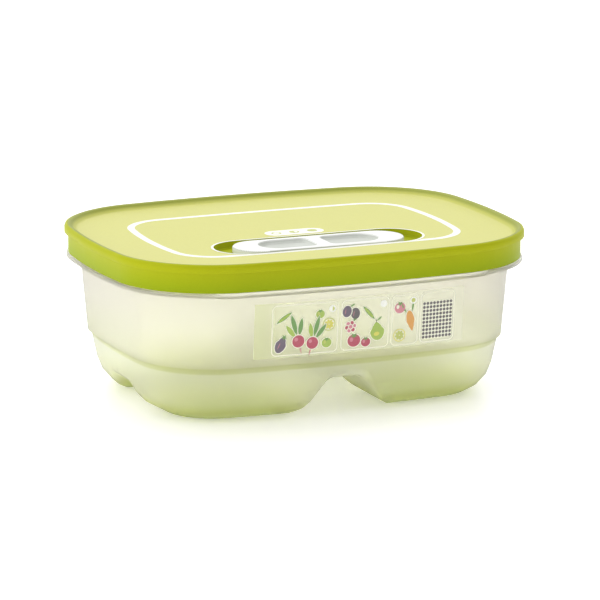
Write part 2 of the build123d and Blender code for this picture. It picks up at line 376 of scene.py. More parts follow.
def deselect() -> None:
    """Leave edit mode and deselect everything."""
    if bpy.context.object and bpy.context.object.mode != "OBJECT":
        bpy.ops.object.mode_set(mode="OBJECT")
    bpy.ops.object.select_all(action="DESELECT")


def activate(piece: bpy.types.Object) -> None:
    """Select one piece alone.

    Args:
        piece: The piece.
    """
    deselect()
    piece.select_set(True)
    bpy.context.view_layer.objects.active = piece


def edit(select: str, mode: str = "VERT") -> None:
    """Enter edit mode on the active piece.

    Args:
        select: "SELECT" for all or "DESELECT" for nothing.
        mode: "VERT", "EDGE" or "FACE".
    """
    bpy.ops.object.mode_set(mode="EDIT")
    bpy.ops.mesh.select_mode(type=mode)
    bpy.ops.mesh.select_all(action=select)


def pick_vertices(piece: bpy.types.Object, test: Callable[[Vector], bool]) -> None:
    """Select the vertices at some places and enter edit mode.

    Args:
        piece: The piece.
        test: Says of a vertex's place whether to select it.
    """
    activate(piece)
    edit("DESELECT")
    bpy.ops.object.mode_set(mode="OBJECT")
    for vertex in piece.data.vertices:
        vertex.select = test(vertex.co)
    bpy.ops.object.mode_set(mode="EDIT")


def settle(piece: bpy.types.Object, name: str) -> bpy.types.Object:
    """Name a piece and move its place into its mesh.

    Args:
        piece: The piece.
        name: Its name.

    Returns:
        The piece.
    """
    activate(piece)
    piece.name = piece.data.name = name
    bpy.ops.object.transform_apply(location=True, rotation=True, scale=True)
    return piece


def apply_modifier(piece: bpy.types.Object, kind: str, **settings: object) -> None:
    """Add a modifier to a piece and apply it.

    Args:
        piece: The piece.
        kind: Blender's modifier type.
        settings: Attribute names and their values.
    """
    activate(piece)
    modifier = piece.modifiers.new(kind.title(), kind)
    for name, value in settings.items():
        setattr(modifier, name, value)
    bpy.ops.object.modifier_apply(modifier=modifier.name)


def face_up(piece: bpy.types.Object) -> None:
    """Turn the faces of a flat piece towards +Z.

    Args:
        piece: A flat piece in the XY plane.
    """
    activate(piece)
    edit("SELECT", "FACE")
    bpy.ops.mesh.normals_make_consistent(inside=False)
    bpy.ops.object.mode_set(mode="OBJECT")
    if piece.data.polygons[0].normal.z < 0:
        edit("SELECT", "FACE")
        bpy.ops.mesh.flip_normals()
        bpy.ops.object.mode_set(mode="OBJECT")


def join(pieces: list[bpy.types.Object], name: str) -> bpy.types.Object:
    """Join pieces into one.

    Args:
        pieces: The pieces.
        name: The new piece's name.

    Returns:
        The joined piece.
    """
    activate(pieces[0])
    for piece in pieces:
        piece.select_set(True)
    bpy.ops.object.join()
    return settle(pieces[0], name)


def smooth_copy(node: str, name: str, crease: float = 70.0) -> bpy.types.Object:
    """Copy a CAD node, merge its loose triangles and round its small facets in the shading.

    Args:
        node: The node's name.
        name: The copy's name.
        crease: Edges that turn more than this many degrees stay sharp.

    Returns:
        The copy, which stands for the node.
    """
    piece = bpy.data.objects.new(name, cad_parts[node].data.copy())
    bpy.context.scene.collection.objects.link(piece)
    activate(piece)
    edit("SELECT")
    bpy.ops.mesh.customdata_custom_splitnormals_clear()
    bpy.ops.mesh.remove_doubles(threshold=0.002 * MM)
    bpy.ops.object.mode_set(mode="OBJECT")
    bpy.ops.object.shade_smooth_by_angle(angle=math.radians(crease), keep_sharp_edges=False)
    apply_modifier(piece, "WEIGHTED_NORMAL", weight=90, keep_sharp=True)
    piece.data.materials.clear()
    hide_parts(node)
    return piece


@dataclass(frozen=True)
class Turn:
    """An arc of a band's path.

    Args:
        centre_mm: The arc's centre.
        degrees: How far it turns, anticlockwise.
        steps: How many faces it has.
    """

    centre_mm: Point
    degrees: float
    steps: int

    def sweep(self) -> None:
        """Spin the selected edge along the arc, about -Z as the operator's angles run clockwise."""
        centre = (self.centre_mm[0] * MM, self.centre_mm[1] * MM, 0)
        bpy.ops.mesh.spin(steps=self.steps, angle=math.radians(self.degrees), center=centre, axis=(0, 0, -1))


@dataclass(frozen=True)
class Run:
    """A straight stretch of a band's path.

    Args:
        shift_mm: How far it goes.
        steps: How many faces it has.
    """

    shift_mm: Point
    steps: int = 1

    def sweep(self) -> None:
        """Extrude the selected edge along the stretch."""
        shift = Vector((*self.shift_mm, 0)) * MM / self.steps
        for _ in range(self.steps):
            bpy.ops.mesh.extrude_region_move(TRANSFORM_OT_translate={"value": shift})


@dataclass(frozen=True)
class Band:
    """Flat closed band, symmetric both ways, traced over one quarter from the middle of its right side.

    Args:
        half_length_mm: Half its outer length.
        width_mm: Its width, inwards.
        path: The arcs and runs of the quarter.
    """

    half_length_mm: float
    width_mm: float
    path: tuple[Turn | Run, ...]

    def trace(self, name: str, ink: Ink) -> bpy.types.Object:
        """Trace the band in the XY plane about the origin.

        Args:
            name: The piece's name.
            ink: Its ink.

        Returns:
            The flat band.
        """
        deselect()
        bpy.ops.mesh.primitive_plane_add(size=self.width_mm * MM)
        piece = bpy.context.object
        edit("SELECT")
        bpy.ops.mesh.delete(type="ONLY_FACE")
        bpy.ops.mesh.select_all(action="SELECT")
        bpy.ops.transform.resize(value=(1, 0, 1), center_override=(0, 0, 0))
        bpy.ops.mesh.remove_doubles(threshold=0.01 * MM)
        middle = (self.half_length_mm - self.width_mm / 2) * MM
        bpy.ops.transform.translate(value=(middle, 0, 0))
        bpy.ops.mesh.select_mode(type="EDGE")
        for move in self.path:
            move.sweep()
        settle(piece, name)
        apply_modifier(piece, "MIRROR", use_axis=(True, True, False), merge_threshold=0.02 * MM)
        face_up(piece)
        piece.data.materials.append(ink.material())
        return piece


@dataclass(frozen=True)
class ArcedRectangle:
    """Rectangle with bowed sides and round corners, made of tangent arcs.

    Args:
        half_length_mm: Half its outer length.
        half_width_mm: Half its outer width.
        long_radius_mm: Radius of the long sides.
        short_radius_mm: Radius of the short sides.
        corner_radius_mm: Radius of the corners.
        line_mm: Width of the printed line.
    """

    half_length_mm: float
    half_width_mm: float
    long_radius_mm: float
    short_radius_mm: float
    corner_radius_mm: float
    line_mm: float

    def band(self) -> Band:
        """Work out the quarter's three arcs.

        Returns:
            The band along this outline.
        """
        long_centre = Vector((0, self.half_width_mm - self.long_radius_mm))
        short_centre = Vector((self.half_length_mm - self.short_radius_mm, 0))
        to_long = self.long_radius_mm - self.corner_radius_mm
        to_short = self.short_radius_mm - self.corner_radius_mm
        line = short_centre - long_centre
        along = (to_long**2 - to_short**2 + line.length_squared) / (2 * line.length)
        across = math.sqrt(to_long**2 - along**2)
        heading = line.normalized()
        corner = long_centre + heading * along + Vector((heading.y, -heading.x)) * across
        side = math.degrees(math.atan2(corner.y - short_centre.y, corner.x - short_centre.x))
        end = math.degrees(math.atan2(corner.x - long_centre.x, corner.y - long_centre.y))
        path = (
            Turn(tuple(short_centre), side, 10),
            Turn(tuple(corner), 90 - side - end, 14),
            Turn(tuple(long_centre), end, 12),
        )
        return Band(self.half_length_mm, self.line_mm, path)


def stadium_band(length_mm: float, width_mm: float, line_mm: float) -> Band:
    """Give the band along a slot with round ends.

    Args:
        length_mm: Its outer length.
        width_mm: Its outer width.
        line_mm: The line's width.

    Returns:
        The band.
    """
    centre = (length_mm - width_mm) / 2
    return Band(length_mm / 2, line_mm, (Turn((centre, 0), 90, 14), Run((-centre, 0), 4)))


def rounded_band(length_mm: float, width_mm: float, radius_mm: float, line_mm: float) -> Band:
    """Give the band along a rectangle with round corners.

    Args:
        length_mm: Its outer length.
        width_mm: Its outer width.
        radius_mm: The radius of its corners.
        line_mm: The line's width.

    Returns:
        The band.
    """
    x = length_mm / 2 - radius_mm
    y = width_mm / 2 - radius_mm
    return Band(length_mm / 2, line_mm, (Run((0, y), 3), Turn((x, y), 90, 6), Run((-x, 0), 4)))


class Shape(Enum):
    """Outlines of the printed spots, with the sides of the circle that each starts from."""

    DISC = 28
    DROP = 32
    HALF = 24
    LEAF = 4
    STAR = 10


@dataclass
class Stencils:
    """The spots' outlines, one unit long, each modelled once and copied for every spot.

    Args:
        masters: The outlines modelled so far.
        pinches: Steps that taper the drop: from where along it, and to what share of its width.
        star_waist: Share of the star's radius at its inner corners.
    """

    masters: dict[Shape, bpy.types.Object] = field(default_factory=dict)
    pinches: tuple[Point, ...] = ((0.0, 0.86), (0.15, 0.82), (0.3, 0.76), (0.42, 0.7))
    star_waist: float = 0.42

    def model(self, shape: Shape) -> bpy.types.Object:
        """Model one outline from a circle.

        Args:
            shape: The outline.

        Returns:
            The flat master.
        """
        deselect()
        bpy.ops.mesh.primitive_circle_add(vertices=shape.value, radius=0.5, fill_type="NGON")
        piece = bpy.context.object
        middle = (0, 0, 0)
        if shape is Shape.DROP:
            for start, pinch in self.pinches:
                pick_vertices(piece, lambda place, start=start: place.x > start)
                bpy.ops.transform.resize(value=(1, pinch, 1), center_override=middle)
        elif shape is Shape.HALF:
            pick_vertices(piece, lambda place: True)
            bpy.ops.mesh.bisect(plane_co=middle, plane_no=(1, 0, 0), clear_inner=True)
        elif shape is Shape.LEAF:
            pick_vertices(piece, lambda place: abs(place.x) < 0.1)
            bpy.ops.mesh.bevel(offset=0.5, segments=6, affect="VERTICES")
        elif shape is Shape.STAR:
            outer = [vertex.co.copy() for vertex in piece.data.vertices][1::2]
            pick_vertices(piece, lambda place: min((place - spot).length for spot in outer) > 0.01)
            bpy.ops.transform.resize(value=(self.star_waist, self.star_waist, 1), center_override=middle)
        settle(piece, f"stencil_{shape.name.lower()}")
        face_up(piece)
        self.masters[shape] = piece
        return piece

    def copy(self, shape: Shape) -> bpy.types.Object:
        """Copy one outline with its own mesh.

        Args:
            shape: The outline.

        Returns:
            The copy.
        """
        master = self.masters.get(shape) or self.model(shape)
        piece = bpy.data.objects.new("spot", master.data.copy())
        bpy.context.scene.collection.objects.link(piece)
        return piece

    def clear(self) -> None:
        """Remove the masters."""
        for master in self.masters.values():
            bpy.data.objects.remove(master)
        self.masters.clear()


@dataclass(frozen=True)
class Spot:
    """One printed spot of a motif.

    Args:
        shape: Its outline.
        ink: Its ink.
        at_mm: Its middle.
        size_mm: Its length and width.
        turn: Its turn in degrees, anticlockwise.
    """

    shape: Shape
    ink: Ink
    at_mm: Point
    size_mm: Point
    turn: float = 0.0

    def draw(self, stencils: Stencils, height_mm: float = 0.0) -> bpy.types.Object:
        """Draw the spot flat in the XY plane.

        Args:
            stencils: The outlines.
            height_mm: Its height above the plane.

        Returns:
            The flat spot.
        """
        piece = stencils.copy(self.shape)
        piece.scale = (self.size_mm[0] * MM, self.size_mm[1] * MM, 1)
        piece.rotation_euler.z = math.radians(self.turn)
        piece.location = (self.at_mm[0] * MM, self.at_mm[1] * MM, height_mm * MM)
        piece.data.materials.append(self.ink.material())
        return settle(piece, "spot")


@dataclass(frozen=True)
class Wall:
    """The tub's front wall, on which the label is wrapped.

    Args:
        tub: The tub's node.
        start_y: Y of a plane in front of the wall.
    """

    tub: bpy.types.Object
    start_y: float

    def wrap(self, piece: bpy.types.Object, lift_mm: float) -> None:
        """Stand a flat piece up and press it on the wall.

        Args:
            piece: A piece drawn in the XY plane, whose Y is the height.
            lift_mm: How far it stands off the wall.
        """
        piece.rotation_euler = (math.radians(90), 0, 0)
        piece.location = (0, self.start_y, 0)
        settle(piece, piece.name)
        apply_modifier(piece, "SHRINKWRAP", target=self.tub, wrap_method="PROJECT", use_project_y=True,
                       use_positive_direction=True, use_negative_direction=False,
                       wrap_mode="ABOVE_SURFACE", offset=lift_mm * MM)


@dataclass
class Tub:
    """The frosted tub."""

    finish: FrostedPolypropylene = FrostedPolypropylene()

    def dress(self) -> bpy.types.Object:
        """Finish the tub.

        Returns:
            The tub.
        """
        piece = smooth_copy("tub", "tub_shell")
        piece.data.materials.append(self.finish.build())
        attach(piece, "tub")
        return piece


@dataclass
class Lid:
    """The press-fit lid with its white prints."""

    stencils: Stencils
    panel_drop_mm: float = 3.0
    panel_margin_mm: float = 0.05
    least_rise: float = 0.05
    most_outwards: float = 0.01
    print_height_mm: float = 0.04
    border: ArcedRectangle = ArcedRectangle(83.75, 54.43, 1821.0, 230.0, 24.8, 3.9)
    vent_y_mm: float = -34.0
    well_size_mm: Point = (115.6, 35.0)
    well_line_mm: float = 1.3
    well_gap_mm: float = 0.1
    well_reach_mm: float = 51.8
    pill_at_mm: Point = (-2.3, -6.3)
    pill_size_mm: Point = (33.0, 12.6)
    pill_round: float = 0.499
    coat_mm: float = 0.02
    mark_mm: float = 5.6
    core_share: float = 0.64
    rim: SoftPolyethylene = SoftPolyethylene(
        "polyethylene_moulded_smooth", Fade("Z", ((72.0, "98AA10"), (86.0, "AFB512"))),
        0.45, 0.08, Grain(1.0, 0.012, 0.4))
    # The panel finish's colour is painted light: pale on the panel, a painted reflection of the white
    # surroundings, turning olive up the dish's inner wall, a painted dark reflection.
    panel: SoftPolyethylene = SoftPolyethylene(
        "polyethylene_grained_painted_reflection", Fade("Z", ((85.0, "D2D170"), (85.5, "BDBF40"), (87.2, "949C06"))),
        0.5, 0.65, Grain(0.9, 0.05, 0.6))

    def panel_height(self) -> float:
        """Give the height of the panel in metres."""
        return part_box("lid")[1].z - self.panel_drop_mm * MM

    def dress(self) -> bpy.types.Object:
        """Finish the lid, with the grained finish on the panel and up the dish round it, its colour painted
        with reflection.

        Returns:
            The lid.
        """
        piece = smooth_copy("lid", "lid_shell")
        piece.data.materials.append(self.rim.build())
        piece.data.materials.append(self.panel.build())
        lowest = self.panel_height() - self.panel_margin_mm * MM
        for face in piece.data.polygons:
            outwards = face.normal.xy.dot(face.center.xy.normalized())
            rises = face.normal.z > self.least_rise
            if face.center.z > lowest and rises and outwards < self.most_outwards:
                face.material_index = 1
        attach(piece, "lid")
        return piece

    def lay(self, piece: bpy.types.Object, at_mm: Point, coat: int = 1) -> bpy.types.Object:
        """Lay a flat print on the panel.

        Args:
            piece: The print, drawn about the origin.
            at_mm: Where its middle goes.
            coat: Which coat of ink it is, counted from the panel.

        Returns:
            The print.
        """
        height = self.panel_height() + coat * self.print_height_mm * MM
        piece.location = (at_mm[0] * MM, at_mm[1] * MM, height)
        settle(piece, piece.name)
        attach(piece, "lid")
        return piece

    def prints(self) -> list[bpy.types.Object]:
        """Add the border line, the line round the well and the pill with its marks.

        Returns:
            The prints.
        """
        length, width = (size + 2 * self.well_line_mm for size in self.well_size_mm)
        border = self.border.band().trace("print_border", Ink.WHITE)
        self.clear_well(border)
        well = stadium_band(length, width, self.well_line_mm).trace("print_well_line", Ink.WHITE)
        return [
            self.lay(border, (0, 0)),
            self.lay(well, (0, self.vent_y_mm), 2),
            self.lay(self.pill(), self.pill_at_mm),
        ]

    def clear_well(self, border: bpy.types.Object) -> None:
        """Draw the border's inner edge back to the panel where it would reach over the well.

        Args:
            border: The border line, about the origin.
        """
        edge = self.vent_y_mm - self.well_size_mm[1] / 2 - self.well_gap_mm
        inner = edge + self.border.line_mm
        reach = self.well_reach_mm * MM
        pick_vertices(border, lambda place: edge < place.y / MM < inner and abs(place.x) < reach)
        bpy.ops.transform.resize(value=(1, 0, 1), center_override=(0, edge * MM, 0))

    def pill(self) -> bpy.types.Object:
        """Draw the pill and its three plain marks for closed, half open and open.

        Returns:
            The pill, flat about the origin.
        """
        length, width = self.pill_size_mm
        deselect()
        bpy.ops.mesh.primitive_plane_add(size=1)
        plate = bpy.context.object
        plate.scale = (length * MM, width * MM, 1)
        plate.data.materials.append(Ink.WHITE.material())
        settle(plate, "pill_plate")
        pick_vertices(plate, lambda place: True)
        bpy.ops.mesh.bevel(offset=self.pill_round * width * MM, segments=12, affect="VERTICES")
        bpy.ops.object.mode_set(mode="OBJECT")
        face_up(plate)
        reach = (length - width) / 2
        size = (self.mark_mm, self.mark_mm)
        core = (self.mark_mm * self.core_share, self.mark_mm * self.core_share)
        marks = [
            Spot(Shape.DISC, Ink.LIME, (-reach, 0), size),
            Spot(Shape.DISC, Ink.WHITE, (-reach, 0), core),
            Spot(Shape.DISC, Ink.LIME, (0, 0), size),
            Spot(Shape.HALF, Ink.WHITE, (0, 0), core),
            Spot(Shape.DISC, Ink.LIME, (reach, 0), size),
        ]
        spots = [mark.draw(self.stencils, self.coat_mm * level) for level, mark in enumerate(marks, start=1)]
        return join([plate, *spots], "print_pill")


@dataclass
class Vent:
    """The white slider and what it carries under the lid."""

    scoop_drop_mm: float = 0.3
    scoop_rise: float = 0.3
    slider: WhitePlastic = WhitePlastic("abs_moulded_white", "F0F1EE", "EAECE8", 0.3)
    # The scoops' grey is painted shade in the hollows; their grain and roughness are real.
    scoop: WhitePlastic = WhitePlastic("abs_grained_painted_shade", "CFD2CB", "C2C6BE", 0.7)
    shutter: WhitePlastic = WhitePlastic("polypropylene_moulded_white", "E6E8E4", "E0E2DD", 0.45)
    seal: WhitePlastic = WhitePlastic("elastomer_moulded_white", "D9DAD2", "D2D4CB", 0.65)

    def dress(self) -> list[bpy.types.Object]:
        """Finish the vent, with a grained grip in the slider's scoops, painted grey as shade in the hollows.

        Returns:
            The slider, shutter and seal.
        """
        piece = smooth_copy("vent_slider", "slider")
        piece.data.materials.append(self.slider.build())
        piece.data.materials.append(self.scoop.build())
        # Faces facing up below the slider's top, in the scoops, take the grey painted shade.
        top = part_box("vent_slider")[1].z - self.scoop_drop_mm * MM
        for face in piece.data.polygons:
            if face.normal.z > self.scoop_rise and face.center.z < top:
                face.material_index = 1
        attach(piece, "vent")
        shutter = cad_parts["vent_shutter"]
        shutter.material_slots[0].material = self.shutter.build()
        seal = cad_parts["vent_seal"]
        seal.material_slots[0].material = self.seal.build()
        return [piece, shutter, seal]


@dataclass(frozen=True)
class Panel:
    """One framed panel of the label.

    Args:
        left_mm: X of its left side.
        right_mm: X of its right side.
    """

    left_mm: float
    right_mm: float

    def middle(self) -> float:
        """Give X of its middle."""
        return (self.left_mm + self.right_mm) / 2

    def length(self) -> float:
        """Give its length."""
        return self.right_mm - self.left_mm


@dataclass
class Label:
    """The printed film on the front wall."""

    wall: Wall
    stencils: Stencils
    left_mm: float = -54.2
    right_mm: float = 63.6
    low_mm: float = 35.4
    high_mm: float = 64.8
    panels: tuple[Panel, ...] = (Panel(-44.8, -8.5), Panel(-6.9, 20.2), Panel(21.4, 37.0), Panel(38.1, 58.2))
    panel_low_mm: float = 36.3
    panel_high_mm: float = 63.5
    frame_radius_mm: float = 2.7
    frame_line_mm: float = 0.55
    lattice_count: tuple[int, int] = (9, 10)
    lattice_pitch_mm: Point = (1.95, 2.02)
    dot_mm: float = 1.6
    lattice_drop_mm: float = 1.6
    film_lift_mm: float = 0.06
    layer_mm: float = 0.03

    def height(self) -> float:
        """Give Z of the panels' middle."""
        return (self.panel_low_mm + self.panel_high_mm) / 2

    def film(self) -> bpy.types.Object:
        """Make the film.

        Returns:
            The film on the wall.
        """
        deselect()
        bpy.ops.mesh.primitive_plane_add(size=1)
        piece = bpy.context.object
        piece.scale = ((self.right_mm - self.left_mm) * MM, (self.high_mm - self.low_mm) * MM, 1)
        piece.location = ((self.left_mm + self.right_mm) / 2 * MM, (self.low_mm + self.high_mm) / 2 * MM, 0)
        settle(piece, "label_film")
        edit("SELECT", "FACE")
        bpy.ops.mesh.subdivide(number_cuts=30)
        bpy.ops.object.mode_set(mode="OBJECT")
        piece.data.materials.append(LabelFilm().build())
        self.wall.wrap(piece, self.film_lift_mm)
        return piece

    def frames(self) -> bpy.types.Object:
        """Make the pale lines round the panels.

        Returns:
            The lines, joined.
        """
        pieces = []
        for panel in self.panels:
            band = rounded_band(panel.length(), self.panel_high_mm - self.panel_low_mm,
                                self.frame_radius_mm, self.frame_line_mm)
            piece = band.trace("label_frame", Ink.CREAM)
            piece.location = (panel.middle() * MM, self.height() * MM, 0)
            settle(piece, "label_frame")
            self.wall.wrap(piece, self.film_lift_mm + self.layer_mm)
            pieces.append(piece)
        return join(pieces, "label_frames")

    def lattice(self) -> bpy.types.Object:
        """Make the even lattice of grey dots in the last panel, on a cream square.

        Returns:
            The square and its dots, joined.
        """
        columns, rows = self.lattice_count
        pitch_x, pitch_z = self.lattice_pitch_mm
        length, width = columns * pitch_x, rows * pitch_z
        left = self.panels[-1].middle() - length / 2
        low = self.height() - width / 2 - self.lattice_drop_mm
        deselect()
        bpy.ops.mesh.primitive_plane_add(size=1)
        square = bpy.context.object
        square.scale = (length * MM, width * MM, 1)
        square.location = ((left + length / 2) * MM, (low + width / 2) * MM, 0)
        settle(square, "label_square")
        edit("SELECT", "FACE")
        bpy.ops.mesh.subdivide(number_cuts=7)
        bpy.ops.object.mode_set(mode="OBJECT")
        square.data.materials.append(Ink.CREAM.material())
        self.wall.wrap(square, self.film_lift_mm + self.layer_mm)
        corner = (left + pitch_x / 2, low + pitch_z / 2)
        dots = Spot(Shape.DISC, Ink.GREY, corner, (self.dot_mm, self.dot_mm)).draw(self.stencils)
        for count, shift in ((columns, (pitch_x * MM, 0, 0)), (rows, (0, pitch_z * MM, 0))):
            apply_modifier(dots, "ARRAY", count=count, use_relative_offset=False,
                           use_constant_offset=True, constant_offset_displace=shift)
        self.wall.wrap(dots, self.film_lift_mm + 2 * self.layer_mm)
        return join([square, dots], "label_lattice")

    def motif(self, spots: list[Spot], name: str) -> bpy.types.Object:
        """Print a motif on the film, each spot over the one before.

        Args:
            spots: The spots, lowest first.
            name: The piece's name.

        Returns:
            The motif on the wall.
        """
        pieces = []
        for level, spot in enumerate(spots):
            piece = spot.draw(self.stencils)
            self.wall.wrap(piece, self.film_lift_mm + (2 + level * 0.5) * self.layer_mm)
            pieces.append(piece)
        return join(pieces, name)


@dataclass
class Produce:
    """The plain fruit and vegetable motifs on the label."""

    label: Label
    edge_mm: float = 0.45
    mark_mm: float = 3.8

    def outlined(self, shape: Shape, ink: Ink, at_mm: Point, size_mm: Point, turn: float = 0.0) -> list[Spot]:
        """Give a spot on a cream edge.

        Args:
            shape: Its outline.
            ink: Its ink.
            at_mm: Its middle.
            size_mm: Its length and width.
            turn: Its turn in degrees.

        Returns:
            The edge and the spot.
        """
        wide = (size_mm[0] + 2 * self.edge_mm, size_mm[1] + 2 * self.edge_mm)
        return [Spot(shape, Ink.CREAM, at_mm, wide, turn), Spot(shape, ink, at_mm, size_mm, turn)]

    def away(self, at_mm: Point, turn: float, reach: float) -> Point:
        """Give the point at a distance in a direction.

        Args:
            at_mm: The start.
            turn: The direction in degrees.
            reach: The distance in mm.

        Returns:
            The point.
        """
        angle = math.radians(turn)
        return (at_mm[0] + math.cos(angle) * reach, at_mm[1] + math.sin(angle) * reach)

    def tomato(self, at_mm: Point, size: float, skin: Ink = Ink.RED, shine: Ink = Ink.ROSE) -> list[Spot]:
        """Draw a round fruit with a star of leaves.

        Args:
            at_mm: Its middle.
            size: Its width in mm.
            skin: Its ink.
            shine: Its lighter patch's ink.

        Returns:
            The spots.
        """
        patch = (at_mm[0] - size * 0.2, at_mm[1] + size * 0.08)
        top = (at_mm[0], at_mm[1] + size * 0.36)
        return [
            *self.outlined(Shape.DISC, skin, at_mm, (size, size * 0.94)),
            Spot(Shape.DISC, shine, patch, (size * 0.26, size * 0.34)),
            Spot(Shape.STAR, Ink.LEAF, top, (size * 0.66, size * 0.44)),
        ]

    def radish(self, at_mm: Point, size: float, lean: float) -> list[Spot]:
        """Draw a red root with a tail and three leaves.

        Args:
            at_mm: The root's middle.
            size: The root's width in mm.
            lean: How far it leans to the right, in degrees.

        Returns:
            The spots.
        """
        spots = []
        for spread, ink, reach in ((-24, Ink.LEAF, 1.5), (22, Ink.SPRING, 1.35), (0, Ink.LEAF, 1.8)):
            turn = 90 - lean + spread
            middle = self.away(at_mm, turn, size * reach * 0.78)
            spots += self.outlined(Shape.LEAF, ink, middle, (size * reach, size * 0.66), turn)
        tail = self.away(at_mm, 270 - lean, size * 0.72)
        spots.append(Spot(Shape.LEAF, Ink.ROSE, tail, (size * 0.7, size * 0.16), 270 - lean))
        spots += self.outlined(Shape.DISC, Ink.RED, at_mm, (size, size))
        patch = (at_mm[0] - size * 0.18, at_mm[1] + size * 0.16)
        spots.append(Spot(Shape.DISC, Ink.ROSE, patch, (size * 0.3, size * 0.3)))
        return spots

    def aubergine(self, at_mm: Point, size: float, turn: float) -> list[Spot]:
        """Draw a long dark fruit with a green cap.

        Args:
            at_mm: Its middle.
            size: Its length in mm.
            turn: The way its cap points, in degrees.

        Returns:
            The spots.
        """
        shine = self.away(at_mm, turn + 150, size * 0.14)
        return [
            *self.outlined(Shape.DROP, Ink.PLUM, at_mm, (size, size * 0.6), turn),
            Spot(Shape.LEAF, Ink.ROSE, shine, (size * 0.4, size * 0.07), turn),
            Spot(Shape.STAR, Ink.LEAF, self.away(at_mm, turn, size * 0.42), (size * 0.36, size * 0.36), turn),
        ]

    def pea_pod(self, at_mm: Point, size: float, turn: float) -> list[Spot]:
        """Draw an open pod with a row of peas.

        Args:
            at_mm: Its middle.
            size: Its length in mm.
            turn: Its turn in degrees.

        Returns:
            The spots.
        """
        spots = self.outlined(Shape.LEAF, Ink.LEAF, at_mm, (size, size * 0.34), turn)
        for place in (-0.26, -0.13, 0.0, 0.13, 0.26):
            pea = self.away(at_mm, turn, size * place)
            spots.append(Spot(Shape.DISC, Ink.SPRING, pea, (size * 0.14, size * 0.14)))
        return spots

    def citrus(self, at_mm: Point, size: float, peel: Ink, flesh: Ink) -> list[Spot]:
        """Draw a cut round fruit with eight segments.

        Args:
            at_mm: Its middle.
            size: Its width in mm.
            peel: The peel's ink.
            flesh: The segments' ink.

        Returns:
            The spots.
        """
        spots = [
            Spot(Shape.DISC, peel, at_mm, (size, size)),
            Spot(Shape.DISC, Ink.CREAM, at_mm, (size * 0.84, size * 0.84)),
        ]
        for number in range(8):
            turn = 45 * number + 12
            middle = self.away(at_mm, turn, size * 0.21)
            spots.append(Spot(Shape.DROP, flesh, middle, (size * 0.34, size * 0.2), turn + 180))
        return spots

    def pear(self, at_mm: Point, size: float, turn: float) -> list[Spot]:
        """Draw a pear with a stalk and a leaf.

        Args:
            at_mm: Its middle.
            size: Its length in mm.
            turn: The way its stalk points, in degrees.

        Returns:
            The spots.
        """
        top = self.away(at_mm, turn, size * 0.56)
        leaf = self.away(top, turn - 70, size * 0.2)
        patch = self.away(at_mm, turn + 160, size * 0.16)
        return [
            *self.outlined(Shape.DROP, Ink.SPRING, at_mm, (size, size * 0.8), turn),
            Spot(Shape.DISC, Ink.YELLOW, patch, (size * 0.22, size * 0.32), turn),
            Spot(Shape.LEAF, Ink.GREY, top, (size * 0.24, size * 0.08), turn),
            Spot(Shape.LEAF, Ink.LEAF, leaf, (size * 0.36, size * 0.16), turn - 60),
        ]

    def carrot(self, at_mm: Point, size: float, turn: float) -> list[Spot]:
        """Draw a carrot with two leaves.

        Args:
            at_mm: Its middle.
            size: Its length in mm.
            turn: The way its crown points, in degrees.

        Returns:
            The spots.
        """
        spots = []
        for spread in (-20, 18):
            leaf = self.away(at_mm, turn + spread, size * 0.7)
            spots.append(Spot(Shape.LEAF, Ink.LEAF, leaf, (size * 0.52, size * 0.16), turn + spread))
        spots += self.outlined(Shape.DROP, Ink.ORANGE, at_mm, (size, size * 0.4), turn + 180)
        return spots

    def plums(self, at_mm: Point, size: float) -> list[Spot]:
        """Draw two plums, one before the other.

        Args:
            at_mm: Their middle.
            size: The width of one in mm.

        Returns:
            The spots.
        """
        spots = []
        for side, tone in ((0.42, Ink.GREY), (-0.42, Ink.PLUM)):
            middle = (at_mm[0] + side * size, at_mm[1] - side * size * 0.3)
            spots += self.outlined(Shape.DISC, tone, middle, (size * 0.9, size * 1.1), 20 * side)
            shine = (middle[0] - size * 0.16, middle[1])
            spots.append(Spot(Shape.LEAF, Ink.ROSE, shine, (size * 0.6, size * 0.09), 80))
        leaf = (at_mm[0] + size * 0.1, at_mm[1] + size * 0.68)
        spots.append(Spot(Shape.LEAF, Ink.LEAF, leaf, (size * 0.6, size * 0.26), 30))
        return spots

    def berries(self, at_mm: Point, size: float) -> list[Spot]:
        """Draw a sprig of seven berries with a leaf.

        Args:
            at_mm: The middle berry's middle.
            size: The width of one berry in mm.

        Returns:
            The spots.
        """
        leaf = self.away(at_mm, 60, size * 1.7)
        spots = self.outlined(Shape.LEAF, Ink.LEAF, leaf, (size * 1.8, size * 0.8), 35)
        places = [self.away(at_mm, 60 * number + 10, size * 0.92) for number in range(6)]
        for number, place in enumerate([*places, at_mm]):
            ink = (Ink.ROSE, Ink.RED)[number % 2]
            spots += self.outlined(Shape.DISC, ink, place, (size * 0.9, size * 0.9))
        return spots

    def marks(self) -> list[Spot]:
        """Draw the small white setting marks, one in each of the first three panels.

        Returns:
            The spots.
        """
        size = (self.mark_mm, self.mark_mm)
        core = (self.mark_mm * 0.62, self.mark_mm * 0.62)
        return [
            Spot(Shape.DISC, Ink.WHITE, (-11.9, 59.6), size),
            Spot(Shape.HALF, Ink.LIME, (-11.9, 59.6), core),
            Spot(Shape.DISC, Ink.WHITE, (16.8, 59.8), size),
            Spot(Shape.DISC, Ink.WHITE, (33.8, 60.0), size),
            Spot(Shape.DISC, Ink.LIME, (33.8, 60.0), core),
        ]

